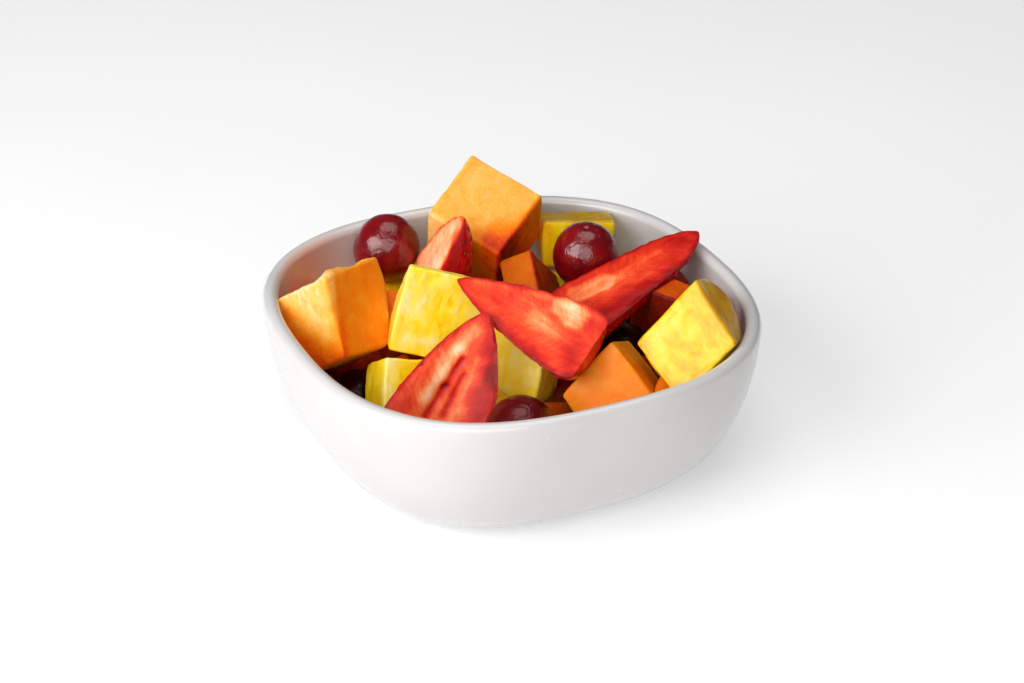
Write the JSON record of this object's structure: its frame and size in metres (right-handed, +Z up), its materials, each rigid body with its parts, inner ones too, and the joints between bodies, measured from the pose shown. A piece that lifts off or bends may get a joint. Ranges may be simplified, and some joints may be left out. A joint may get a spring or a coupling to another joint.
{
  "type": "fruit salad",
  "caption": "Fruit salad of cut melon, pineapple and strawberries with whole red grapes, heaped in a white glazed bowl with softly squared sides.",
  "frame": {"origin": "on the surface the bowl stands on, under the middle of its foot", "axes": "+Z up; X and Y run across the bowl's four softly flattened sides. The heap of fruit faces its front about 24 degrees from -Y towards -X."},
  "size_m": [0.139, 0.1365, 0.067],
  "materials": {
    "bowl_glaze": "glossy white glaze",
    "mixed_fruit": "wet cut fruit in red, orange and yellow",
    "melon_flesh": "moist cut flesh, orange paling to cream at the seed side and reddening at the rind side",
    "pineapple_flesh": "moist fibrous flesh, yellow",
    "grape_skin": "smooth wet skin, dark red",
    "strawberry": "wet red skin with seeds, cut face paling to a light core"
  },
  "bodies": {
    "root": {"bowl": "bowl_glaze", "lower_fruit": "mixed_fruit", "melon_left": "melon_flesh", "melon_top": "melon_flesh", "melon_middle": "melon_flesh", "melon_right": "melon_flesh", "melon_front": "melon_flesh", "pineapple_centre": "pineapple_flesh", "pineapple_right": "pineapple_flesh", "pineapple_left": "pineapple_flesh", "pineapple_front": "pineapple_flesh", "pineapple_back": "pineapple_flesh", "grape_left": "grape_skin", "grape_right": "grape_skin", "grape_front": "grape_skin", "grape_dark_left": "grape_skin", "grape_dark_right": "grape_skin", "strawberry_wedge": "strawberry", "strawberry_centre": "strawberry", "strawberry_front": "strawberry", "strawberry_right": "strawberry"}
  },
  "joints": []
}
